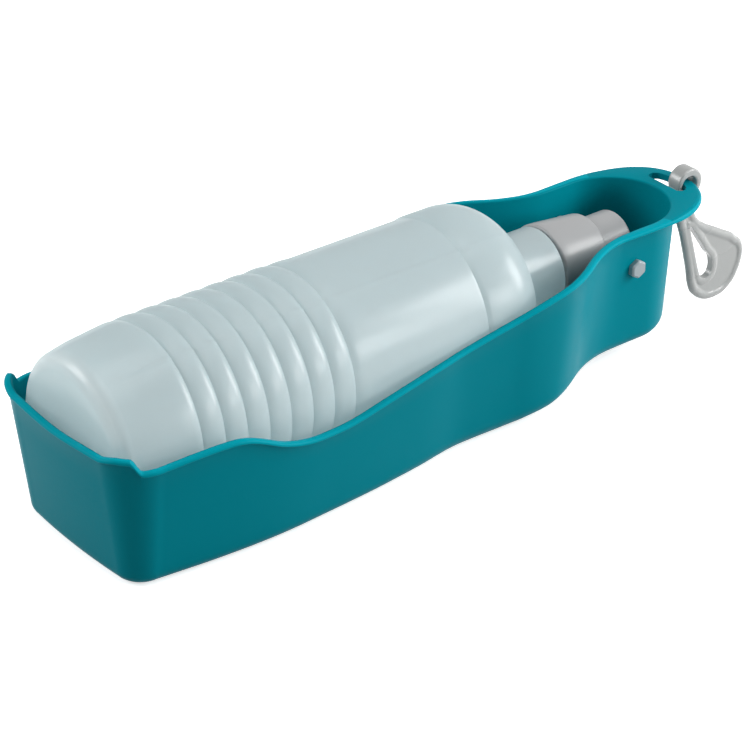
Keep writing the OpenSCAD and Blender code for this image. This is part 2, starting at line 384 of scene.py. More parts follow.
class Slot(Enum):
    """Material slots of the record."""

    TROUGH = "trough_plastic"
    PIN = "pin_plastic"
    SEAL = "seal_rubber"
    CAP = "cap_plastic"
    GASKET = "gasket_rubber"
    BOTTLE = "bottle_plastic"
    CLIP = "clip_plastic"


class ShaderTree:
    """Node tree that is built up from nodes with their settings, values and links."""

    def __init__(self, owner: bpy.types.Material | bpy.types.World) -> None:
        """Starts with no nodes.

        Args:
            owner: the material or world whose tree it is.
        """
        owner.use_nodes = True
        self.tree = owner.node_tree
        self.tree.nodes.clear()

    def add(
        self, kind: str, inputs: Mapping[str | int, object] | None = None, **settings: str
    ) -> bpy.types.Node:
        """Adds a node.

        Args:
            kind: kind of node.
            inputs: for each input, a value, an output socket or a node, which gives its first output.
            settings: properties of the node, which are set before its inputs.

        Returns:
            The node.
        """
        node = self.tree.nodes.new("ShaderNode" + kind)
        for name, setting in settings.items():
            setattr(node, name, setting)
        for key, value in (inputs or {}).items():
            source = value.outputs[0] if isinstance(value, bpy.types.Node) else value
            if isinstance(source, bpy.types.NodeSocket):
                self.tree.links.new(source, node.inputs[key])
            else:
                node.inputs[key].default_value = source
        return node

    def noise(self, scale: float, detail: float) -> bpy.types.Node:
        """Adds a noise that stays with the object."""
        place = self.add("TexCoord").outputs["Object"]
        return self.add("TexNoise", {"Scale": scale, "Detail": detail, "Vector": place})

    def mark(self, mark: Mark) -> bpy.types.NodeSocket:
        """Adds the value that a mesh carries for each face."""
        return self.add("Attribute", attribute_name=mark.value).outputs["Fac"]

    def blend(self, share: object, first: object, second: object) -> bpy.types.NodeSocket:
        """Adds a blend of two colours."""
        inputs = {"Factor": share, "A": first, "B": second}
        return self.add("Mix", inputs, data_type="RGBA").outputs["Result"]

    def seen_directly(self) -> bpy.types.Node:
        """Adds a factor for rays that show the surround itself.

        Returns:
            A node that gives 1 for camera, mirror-like and see-through rays, and 0 for others.
        """
        path = self.add("LightPath").outputs
        first = self.add("Math", {0: path["Is Camera Ray"], 1: path["Is Glossy Ray"]}, operation="MAXIMUM")
        return self.add("Math", {0: first, 1: path["Is Transmission Ray"]}, operation="MAXIMUM")


@dataclass(frozen=True)
class Moulding:
    """A moulded plastic or rubber: its colour, its gloss and the small unevenness of its skin."""

    name: str
    colour: Point3
    shade: Point3
    roughness: float
    roughness_spread: float
    cloud_scale: float
    grain_scale: float
    grain_height: float
    cloud_detail: float = 3.0
    grain_detail: float = 2.0
    specular: float = 0.5
    ior: float = 1.5
    coat: float = 0.0
    coat_roughness: float = 0.12
    through: float = 0.0
    through_colour: Point3 = (1.0, 1.0, 1.0)
    # Colour of the painted highlight on faces with the edge mark, or none.
    painted_highlight_colour: Point3 | None = None

    def build(self) -> bpy.types.Material:
        """Makes the node material.

        The mesh may carry face marks: the edge mark blends in a lighter colour, a painted highlight on
        the lit rim of the trough and the rounded edge of the bottle's base, and LINING is the inner skin of a
        see-through wall, which lets the light of the outer skin pass.

        Returns:
            A material with clouded colour, uneven gloss and a fine grain, all from object coordinates.
        """
        material = bpy.data.materials.new(self.name)
        tree = ShaderTree(material)
        cloud = tree.noise(self.cloud_scale, self.cloud_detail)
        colour = tree.blend(cloud, (*self.colour, 1.0), (*self.shade, 1.0))
        # Painted highlight: the lighter colour is blended in on faces with the edge mark.
        if self.painted_highlight_colour:
            colour = tree.blend(tree.mark(Mark.EDGE), colour, (*self.painted_highlight_colour, 1.0))
        low, high = self.roughness - self.roughness_spread, self.roughness + self.roughness_spread
        gloss = tree.add("MapRange", {"To Min": low, "To Max": high, "Value": cloud})
        grain = tree.noise(self.grain_scale, self.grain_detail)
        bump = tree.add("Bump", {"Strength": 1.0, "Distance": self.grain_height * MM, "Height": grain})
        surface = tree.add("BsdfPrincipled", {
            "Base Color": colour, "Roughness": gloss, "Normal": bump, "Specular IOR Level": self.specular,
            "IOR": self.ior, "Coat Weight": self.coat, "Coat Roughness": self.coat_roughness,
        })
        if self.through > 0.0:
            glow = tree.add("BsdfTranslucent", {"Color": (*self.through_colour, 1.0)})
            wall = tree.add("MixShader", {0: self.through, 1: surface, 2: glow})
            clear = tree.add("BsdfTransparent")
            surface = tree.add("MixShader", {0: tree.mark(Mark.LINING), 1: wall, 2: clear})
        tree.add("OutputMaterial", {"Surface": surface})
        return material


FINISHES: dict[Slot, Moulding] = {
    Slot.TROUGH: Moulding(
        "teal_polypropylene", colour=(0.0, 0.208, 0.262), shade=(0.0, 0.222, 0.278),
        roughness=0.34, roughness_spread=0.03, cloud_scale=9.0, grain_scale=2600.0, grain_height=0.012,
        # The edge colour is a painted highlight on the lit rim of the trough.
        specular=0.1, ior=1.2, painted_highlight_colour=(0.0, 0.30, 0.375),
    ),
    Slot.BOTTLE: Moulding(
        "frosted_polyethylene", colour=(0.585, 0.655, 0.672), shade=(0.615, 0.685, 0.70),
        roughness=0.26, roughness_spread=0.03, cloud_scale=20.0, grain_scale=1500.0, grain_height=0.02,
        # The edge colour is a painted highlight on the rounded edge of the base.
        specular=0.62, through=0.5, through_colour=(0.84, 0.95, 0.965), painted_highlight_colour=(0.86, 0.90, 0.905),
    ),
    Slot.CAP: Moulding(
        "silver_grey_cap", colour=(0.315, 0.32, 0.325), shade=(0.34, 0.345, 0.35),
        roughness=0.34, roughness_spread=0.04, cloud_scale=30.0, grain_scale=2200.0, grain_height=0.012,
    ),
    Slot.PIN: Moulding(
        "light_grey_pin", colour=(0.285, 0.34, 0.365), shade=(0.31, 0.365, 0.39),
        roughness=0.4, roughness_spread=0.04, cloud_scale=60.0, grain_scale=3000.0, grain_height=0.012,
    ),
    Slot.CLIP: Moulding(
        "silver_grey_clip", colour=(0.335, 0.345, 0.34), shade=(0.36, 0.37, 0.365),
        roughness=0.27, roughness_spread=0.04, cloud_scale=40.0, grain_scale=2200.0, grain_height=0.01,
        coat=0.3,
    ),
    Slot.SEAL: Moulding(
        "black_seal_rubber", colour=(0.02, 0.02, 0.02), shade=(0.03, 0.03, 0.03),
        roughness=0.55, roughness_spread=0.05, cloud_scale=90.0, grain_scale=3500.0, grain_height=0.02,
    ),
    Slot.GASKET: Moulding(
        "white_gasket_rubber", colour=(0.72, 0.72, 0.70), shade=(0.76, 0.76, 0.74),
        roughness=0.6, roughness_spread=0.05, cloud_scale=90.0, grain_scale=3500.0, grain_height=0.02,
    ),
}


class Finisher:
    """Builds each finish once and puts it on pieces and carried-over CAD nodes."""

    def __init__(self) -> None:
        """Starts with no finish built."""
        self.built: dict[Slot, bpy.types.Material] = {}

    def material(self, slot: Slot) -> bpy.types.Material:
        """Gives the material of a slot, built when it is first asked for.

        Args:
            slot: the slot.

        Returns:
            Its material.
        """
        if slot not in self.built:
            self.built[slot] = FINISHES[slot].build()
        return self.built[slot]

    def dress(self, obj: bpy.types.Object, slot: Slot, body: str, *nodes: str) -> None:
        """Finishes a modelled piece and ties it to the frame.

        Args:
            obj: the piece, in place.
            slot: its finish.
            body: CAD body that it rides on.
            nodes: CAD nodes that it stands for.
        """
        obj.data.materials.clear()
        obj.data.materials.append(self.material(slot))
        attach(obj, body)
        if nodes:
            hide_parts(*nodes)
        LOG.info("piece %s: %d faces on body %s", obj.name, len(obj.data.polygons), body)

    def keep(self, node: str, slot: Slot) -> None:
        """Gives a CAD node that stays shown its procedural finish.

        Args:
            node: name of the node.
            slot: its finish.
        """
        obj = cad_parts[node]
        material = self.material(slot)
        if not obj.material_slots:
            obj.data.materials.append(material)
        for place in obj.material_slots:
            place.link = "OBJECT"
            place.material = material
        LOG.info("node %s keeps its own shape, finish %s", node, slot.value)


# --------------------------------------------------------------------------- trough


@dataclass
class Section:
    """One upright section of the trough's wall: foot, outward direction, rim height and lip reach."""

    foot: Point2
    out: Point2
    rim: float
    lip: float


@dataclass
class Trough:
    """Thin-walled dish that holds the folded bottle: plan, drafts, rim, flange and slot."""

    end_x: float = -132.4
    end_crown: float = 1.0
    corner_r: float = 11.0
    neck_half_w: float = 20.5
    neck_x: float = 105.5
    plan_z: float = 10.0
    wall: float = 1.8
    lip_out: float = 1.195
    lip_h: float = 1.6
    flange_h: float = 2.5
    end_rim: float = 8.7
    end_rise: float = 0.9
    horn_rim: float = 11.2
    neck_rise: float = 6.3
    flange_rim: float = 15.2
    flange_reach: float = 36.7
    flange_half_w: float = 25.2
    flange_power: float = 2.3
    flange_start: float = 78.0
    flange_run: float = 24.0
    flange_from: float = 3.0
    flange_blend: float = 5.0
    under_start: float = 25.0
    under_run: float = 60.0
    # Angles round a base corner: the horn's rise, then the start and the run of its fall.
    horn_up: float = 34.0
    horn_down: Point2 = (48.0, 16.0)
    lip_root: float = 0.5
    lip_fillet: tuple[Point2, ...] = ((0.12, -0.1), (0.35, 0.0))
    lip_round: float = 0.45
    lip_land: float = 0.6
    brow_round: float = 0.7
    bar_w: float = 5.2
    slot_x: float = 131.0
    slot_half_w: float = 9.0
    # Eased corners of the slot, along X and along Y.
    slot_front_corner: Point2 = (1.6, 1.0)
    slot_back_corner: Point2 = (1.2, 1.3)
    slot_tool_z: Point2 = (-6.0, 4.0)
    slot_sweep: int = 60
    slot_step: int = 2
    hex_af: float = 6.4
    crease: float = 38.0
    # Rows of x, half width as a share from the neck (0) to the bottle's radius (1), and rim over the axis.
    side: list[Point3] = field(default_factory=lambda: [
        (-121, 1.124, 6.3), (-110, 1.225, 7.3), (-100, 1.302, 7.8), (-92, 1.349, 7.4),
        (-85, 1.380, 5.0), (-75, 1.403, 0.0), (-65, 1.388, -2.9), (-55, 1.341, -3.6),
        (-45, 1.295, -3.1), (-30, 1.209, -0.5), (-10, 1.062, 2.8), (5, 0.895, 4.5),
        (17, 0.868, 6.5), (30, 0.900, 9.1), (40, 0.980, 11.8), (49, 1.000, 13.8),
        (55, 0.922, 14.8), (62, 0.705, 15.2), (70, 0.380, 15.2), (77, 0.171, 15.2),
        (85, 0.039, 15.2), (95, 0.0, 15.2), (105.5, 0.0, 15.2),
    ])
    # Slope of the outer wall and radius of the floor's edge, each by x.
    draft: list[Point2] = field(default_factory=lambda: [
        (-132, 0.115), (-100, 0.112), (-30, 0.135), (10, 0.155), (35, 0.15), (75, 0.09), (90, 0.058),
    ])
    fillet: list[Point2] = field(default_factory=lambda: [(-132, 5), (-30, 6), (10, 8), (40, 8), (80, 6)])
    end_steps: int = 12
    side_steps: int = 5
    corner_steps: int = 22
    round_steps: int = 32
    fillet_steps: int = 8
    wall_steps: int = 5
    lip_steps: int = 14
    edge_steps: int = 9

    def side_at(self, s: float) -> Point3:
        """Point of the side at a station.

        Args:
            s: number of the station, which may lie between two rows of the side.

        Returns:
            x, half width and rim height.
        """
        rows = [
            (x, self.neck_half_w + share * (BODY_R - self.neck_half_w), AXIS_Z + rim)
            for x, share, rim in self.side
        ]
        return tuple(catmull(rows, s))

    def side_out(self, s: float) -> Point2:
        """Outward direction of the side at a station.

        Args:
            s: number of the station.

        Returns:
            The direction, of length 1.
        """
        a, b = self.side_at(s - 0.01), self.side_at(s + 0.01)
        dx, dy = b[0] - a[0], b[1] - a[1]
        length = math.hypot(dx, dy)
        return (-dy / length, dx / length)

    def wall_off(self, x: float, z: float) -> float:
        """How far the drafted wall stands out at a height, from its plan line."""
        return lookup(x, self.draft) * (z - self.plan_z)

    def under_z(self, x: float) -> float:
        """Height of the underside at a place along X."""
        return self.neck_rise * smooth_step((x - self.under_start) / self.under_run)

    def horn_z(self, a: float) -> float:
        """Rim height round a base corner.

        Args:
            a: angle in degrees, from the end wall (0) to the side wall (90).

        Returns:
            The height.
        """
        start, run = self.horn_down
        horn = ease(self.end_rim + self.end_rise, self.horn_rim, a / self.horn_up)
        return AXIS_Z + ease(horn, self.side[0][2], (a - start) / run)

    def flange_r(self, a: float) -> float:
        """Reach of the flange's outline from the neck's centre.

        Args:
            a: angle from the flange's tip, in degrees.

        Returns:
            The reach in millimetres.
        """
        along, across = polar(1.0, a)
        p = self.flange_power
        return (abs(along / self.flange_reach) ** p + abs(across / self.flange_half_w) ** p) ** (-1.0 / p)

    def sections(self) -> list[Section]:
        """Sections once round the trough, from the middle of the end wall along +Y.

        Returns:
            The sections of the far half and then, mirrored, of the near half.
        """
        half: list[Section] = []
        end_y = self.side_at(0)[1] - self.corner_r
        corner_x = self.end_x + self.corner_r
        wall_r = self.neck_half_w + self.wall_off(self.neck_x, AXIS_Z + self.flange_rim)
        for k in range(self.end_steps):
            t = k / self.end_steps
            x = self.end_x - self.end_crown * (1.0 - t * t)
            rim = AXIS_Z + ease(self.end_rim, self.end_rim + self.end_rise, t)
            half.append(Section((x, end_y * t), (-1.0, 0.0), rim, self.lip_out))
        for k in range(self.corner_steps):
            a = 90.0 * k / self.corner_steps
            n = polar(1.0, 180.0 - a)
            foot = (corner_x + self.corner_r * n[0], end_y + self.corner_r * n[1])
            half.append(Section(foot, n, self.horn_z(a), self.lip_out))
        for k in range((len(self.side) - 1) * self.side_steps):
            s = k / self.side_steps
            x, y, rim = self.side_at(s)
            lip = ease(self.lip_out, self.flange_half_w - wall_r, (x - self.flange_start) / self.flange_run)
            half.append(Section((x, y), (0.0, 1.0) if k == 0 else self.side_out(s), rim, lip))
        for k in range(self.round_steps + 1):
            a = 90.0 - 90.0 * k / self.round_steps
            n = polar(1.0, a)
            foot = (self.neck_x + self.neck_half_w * n[0], self.neck_half_w * n[1])
            half.append(Section(foot, n, AXIS_Z + self.flange_rim, self.flange_r(a) - wall_r))
        inner = half[-2:0:-1]
        return half + [Section((h.foot[0], -h.foot[1]), (h.out[0], -h.out[1]), h.rim, h.lip) for h in inner]

    def outline(self, h: Section) -> list[Point3]:
        """Points of one section, from the outer floor edge over the rim to the inner floor edge.

        Args:
            h: the section.

        Returns:
            Points in millimetres.
        """
        x = h.foot[0]
        under = self.under_z(x)
        f = lookup(x, self.fillet)
        g = f - self.wall
        outer = self.wall_off(x, under + f) - f
        inner = self.wall_off(x, under + f) - self.wall - g
        lip_h = ease(self.lip_h, self.flange_h, (h.lip - self.lip_out) / self.flange_blend)
        low = h.rim - lip_h
        crown = lip_h - self.lip_land
        turn = h.rim - self.brow_round
        edge = self.wall_off(x, h.rim - self.flange_h) + h.lip
        brow = self.wall_off(x, h.rim) - self.wall
        pairs = arc(outer, under + f, f, -90, 0, self.fillet_steps)
        top = low - self.lip_root
        for k in range(1, self.wall_steps + 1):
            z = under + f + (top - under - f) * k / self.wall_steps
            pairs.append((self.wall_off(x, z), z))
        pairs += [(self.wall_off(x, low) + out, low + up) for out, up in self.lip_fillet]
        pairs += arc(edge - self.lip_round, low + self.lip_round, self.lip_round, -90, 0, 3)
        pairs += arc(edge - crown, h.rim - crown, crown, 0, 90, 8)
        pairs += arc(brow + self.brow_round, turn, self.brow_round, 90, 180, 4)
        foot = under + self.wall + g
        for k in range(self.wall_steps):
            z = turn - (turn - foot) * (k + 1) / (self.wall_steps + 1)
            pairs.append((self.wall_off(x, z) - self.wall, z))
        pairs += arc(inner, foot, g, 0, -90, self.fillet_steps)
        return [(h.foot[0] + off * h.out[0], h.foot[1] + off * h.out[1], z) for off, z in pairs]

    def shell(self) -> bpy.types.Object:
        """Lofts the sections into one closed shell with strip floors.

        Returns:
            The shell, with its thin rim edge marked for a painted highlight.
        """
        sections = self.sections()
        rows = [self.outline(h) for h in sections]
        total, per = len(rows), len(rows[0])
        half = total // 2
        points = [p for row in rows for p in row]
        faces: list[tuple[int, ...]] = []
        for i in range(total):
            j = (i + 1) % total
            for k in range(per - 1):
                faces.append((i * per + k, j * per + k, j * per + k + 1, i * per + k + 1))
        for k in (0, per - 1):
            for i in range(half):
                ring = (i, i + 1, (total - i - 1) % total, (total - i) % total)
                faces.append(tuple(dict.fromkeys(r * per + k for r in ring)))
        obj = new_object("trough_shell", mesh_from("trough_shell", points, faces))
        low = self.fillet_steps + self.wall_steps + 2

        def edge(face: int) -> float:
            """Tells the thin edge of the rim from walls, floors and the flange's broad top.

            Args:
                face: number of the face.

            Returns:
                1 on the rim's edge, which gets a painted highlight, 0 elsewhere.
            """
            i, k = divmod(face, per - 1)
            steps = self.lip_steps if i < total and sections[i].lip < self.flange_from else self.edge_steps
            return 1.0 if i < total and low <= k < low + steps else 0.0

        mark_faces(obj, Mark.EDGE, edge)
        return obj

    def slot_tool(self) -> bpy.types.Object:
        """Prism that cuts the crescent slot of the flange, with eased corners.

        Returns:
            The prism.
        """
        angles = range(-self.slot_sweep, self.slot_sweep + 1, self.slot_step)
        outer = [polar(self.flange_r(a) - self.bar_w, a) for a in angles]
        (front_x, front_y), (back_x, back_y) = self.slot_front_corner, self.slot_back_corner
        most_y = self.slot_half_w - front_y
        kept = [(self.neck_x + x, y) for x, y in outer if abs(y) < most_y and self.neck_x + x > self.slot_x]
        ends = [(kept[-1][0] - front_x, self.slot_half_w), (self.slot_x + back_x, self.slot_half_w)]
        left = [(self.slot_x, self.slot_half_w - back_y)]
        outline = kept + ends + left + [(x, -y) for x, y in reversed(ends + left)]
        low, high = (AXIS_Z + self.flange_rim + z for z in self.slot_tool_z)
        return prism("slot_tool", outline, low, high, Matrix.Identity(4))

    def hex_tool(self) -> bpy.types.Object:
        """Six-sided bar that cuts the keyed holes of the spindle.

        Returns:
            The bar.
        """
        r = self.hex_af / math.sqrt(3.0)
        outline = [polar(r, 60 * k)[::-1] for k in range(6)]
        return prism("hex_tool", outline, -THROUGH, THROUGH, at_pivot(90, "X"))

    def build(self, finisher: Finisher) -> None:
        """Makes the trough and ties it to its body.

        Args:
            finisher: dresses the piece.
        """
        obj = self.shell()
        machine(obj, Tooling.CUT, [self.slot_tool(), self.hex_tool()])
        shade(obj.data, self.crease)
        finisher.dress(obj, Slot.TROUGH, "trough", "trough")


# --------------------------------------------------------------------------- bottle


@dataclass
class Bottle:
    """Frosted squeeze bottle: outline, grip ribs, shoulder band, neck and thread."""

    base_x: float = -131.4
    base_r: float = 31.25
    base_round: float = 6.1
    base_dish: float = 1.6
    # Points of the dished base: x from the base, and radius.
    dish: tuple[Point2, ...] = ((1.2, 13.0), (0.5, 17.0), (0.1, 21.0))
    dish_flat: float = 9.0
    lining_flat: float = 8.0
    rib_x: float = -101.2
    rib_pitch: float = 8.93
    groove_count: int = 8
    groove_r: float = 32.97
    groove_depth: float = 1.1
    rib_fullness: float = 2.4
    rib_sharpness: float = 0.85
    # Steps in x and radius: taper from the first groove and the crests, last crest from the last groove,
    # run-out to the plain body, then the crease before the shoulder band and the band's own edge.
    taper: tuple[Point2, ...] = ((-18.0, -1.65), (-12.0, -1.05), (-7.0, -0.55), (-3.0, -0.22), (-1.2, -0.4))
    last_crest: Point2 = (1.4, 0.55)
    run_out: tuple[Point2, ...] = ((3.0, 0.3), (5.5, 0.35), (10.0, 0.0))
    crease: tuple[Point2, ...] = ((-2.6, 0.0), (-1.2, -0.3))
    band_edge: tuple[Point2, ...] = ((0.0, -0.25), (0.9, 0.0))
    band_x: float = 21.0
    band_r: float = 33.88
    shoulder_x: float = 33.0
    shoulder_turn: float = 82.0
    neck_x: float = 50.0
    neck_root: float = 1.0
    # Steps from the shoulder's end in x, and radius over the collar or over the bore of the mouth.
    neck_blend: tuple[Point2, ...] = ((1.2, 0.5), (3.0, 0.0))
    throat: Point2 = (2.0, 1.0)
    collar_r: float = 15.4
    collar_end: float = 70.65
    collar_round: float = 1.1
    thread_r: float = 13.0
    thread_root: float = 11.9
    thread_x: Point3 = (75.0, 79.0, 83.0)
    ridge_foot: float = 1.0
    ridge_top: float = 0.4
    mouth_x: float = 86.0
    mouth_r: float = 10.4
    mouth_bevel: float = 0.4
    mouth_run: float = 8.0
    wall: float = 1.2
    seam_angle: float = 151.5
    seam_height: float = 0.24
    seam_half_angle: float = 1.5
    base_steps: int = 18
    rib_steps: int = 20
    shoulder_steps: int = 22
    sides: int = 240

    def ribs(self, t: float) -> list[Point2]:
        """Round-crested ribs between narrow grooves.

        Args:
            t: inward move, 0 for the outer skin.

        Returns:
            (x, radius) points from the first groove to the last.
        """
        points: list[Point2] = []
        for k in range((self.groove_count - 1) * self.rib_steps):
            i, step = divmod(k, self.rib_steps)
            u = step / self.rib_steps
            rise = (1.0 - abs(2.0 * u - 1.0) ** self.rib_fullness) ** self.rib_sharpness
            x = self.rib_x + (i + u) * self.rib_pitch
            points.append((x, self.groove_r - t + self.groove_depth * rise))
        return points + [(self.last_groove(), self.groove_r - t)]

    def last_groove(self) -> float:
        """Place of the last groove along X."""
        return self.rib_x + (self.groove_count - 1) * self.rib_pitch

    def outer(self, t: float) -> list[Point2]:
        """Body outline from the base to the root of the neck, moved inward by t.

        Args:
            t: inward move, 0 for the outer skin.

        Returns:
            (x, radius) points.
        """
        rr, last = self.base_round, self.last_groove()
        line = arc(self.base_x + rr, self.base_r - rr, rr - t, 180, 95, self.base_steps)
        line += [(self.rib_x + x, self.groove_r + self.groove_depth + r - t) for x, r in self.taper]
        line += self.ribs(t)
        line += [(last + self.last_crest[0], self.groove_r + self.last_crest[1] - t)]
        line += [(last + x, BODY_R + r - t) for x, r in self.run_out]
        line += [(self.band_x + x, BODY_R + r - t) for x, r in self.crease]
        line += [(self.band_x + x, self.band_r + r - t) for x, r in self.band_edge]
        root_r = self.collar_r + self.neck_root
        for k in range(self.shoulder_steps + 1):
            along, out = polar(1.0, 90.0 - self.shoulder_turn * k / self.shoulder_steps)
            x = self.shoulder_x + (self.neck_x - self.shoulder_x - t) * along
            line.append((x, root_r - t + (self.band_r - root_r) * out))
        return line

    def thread(self) -> list[Point2]:
        """Ridges of the screw thread on the neck.

        Returns:
            (x, radius) points.
        """
        foot, top, root, crest = self.ridge_foot, self.ridge_top, self.thread_root, self.thread_r
        ridge = [(-foot, root), (-top, crest), (top, crest), (foot, root)]
        return [(x + along, r) for x in self.thread_x for along, r in ridge]

    def seam(self, x: float, a: float) -> float:
        """Raised parting line down both sides of the body.

        Args:
            x: place along X.
            a: angle from straight up, in degrees.

        Returns:
            Extra radius there.
        """
        if not self.base_x + self.base_round < x < self.neck_x:
            return 0.0
        near = min(abs(a - self.seam_angle - 180.0 * k) for k in (-1, 0, 1, 2))
        return self.seam_height * max(0.0, 1.0 - near / self.seam_half_angle)

    def base(self) -> list[Point2]:
        """Outline of the dished base, from its middle to where the rounding starts."""
        dish_x = self.base_x + self.base_dish
        return [(dish_x, 0.0), (dish_x, self.dish_flat), *((self.base_x + x, r) for x, r in self.dish)]

    def skin(self) -> list[Point2]:
        """Outline of the outer skin, from the middle of the base to the edge of the mouth.

        Returns:
            (x, radius) points.
        """
        line = self.base() + self.outer(0.0)
        line += [(self.neck_x + x, self.collar_r + r) for x, r in self.neck_blend]
        rr, bevel = self.collar_round, self.mouth_bevel
        line += arc(self.collar_end - rr, self.collar_r - rr, rr, 90, 0, 8)
        line += [(self.collar_end, self.thread_root), *self.thread()]
        return line + [(self.mouth_x - bevel, self.thread_root), (self.mouth_x, self.thread_root - bevel)]

    def lining(self) -> list[Point2]:
        """Outline of the inner skin, from the mouth back to the middle of the base.

        Returns:
            (x, radius) points.
        """
        line = [(self.mouth_x, self.mouth_r), (self.mouth_x - self.mouth_run, self.mouth_r)]
        line += [(self.neck_x + self.throat[0], self.mouth_r + self.throat[1])]
        line += reversed(self.outer(self.wall))
        floor_x = self.base_x + self.base_dish + self.wall
        return line + [(floor_x, self.lining_flat), (floor_x, 0.0)]

    def painted_highlight_share(self, row: int) -> float:
        """How much painted highlight a row of faces gets on the rounded edge of the base: 1 in the middle of
        the rounding.
        """
        return max(0.0, 1.0 - abs(2.0 * (row - len(self.base())) / self.base_steps - 1.0))

    def build(self, finisher: Finisher) -> None:
        """Makes the hollow bottle and ties it to its body.

        Args:
            finisher: dresses the piece.
        """
        skin = self.skin()
        obj = turned("bottle_shell", skin + self.lining(), self.sides, swell=self.seam)
        mark_faces(obj, Mark.LINING, lambda f: 1.0 if f // self.sides >= len(skin) - 1 else 0.0)
        # Painted highlight on the rounded edge of the base.
        mark_faces(obj, Mark.EDGE, lambda f: self.painted_highlight_share(f // self.sides))
        finisher.dress(obj, Slot.BOTTLE, "bottle", "bottle")


# --------------------------------------------------------------------------- cap and valve


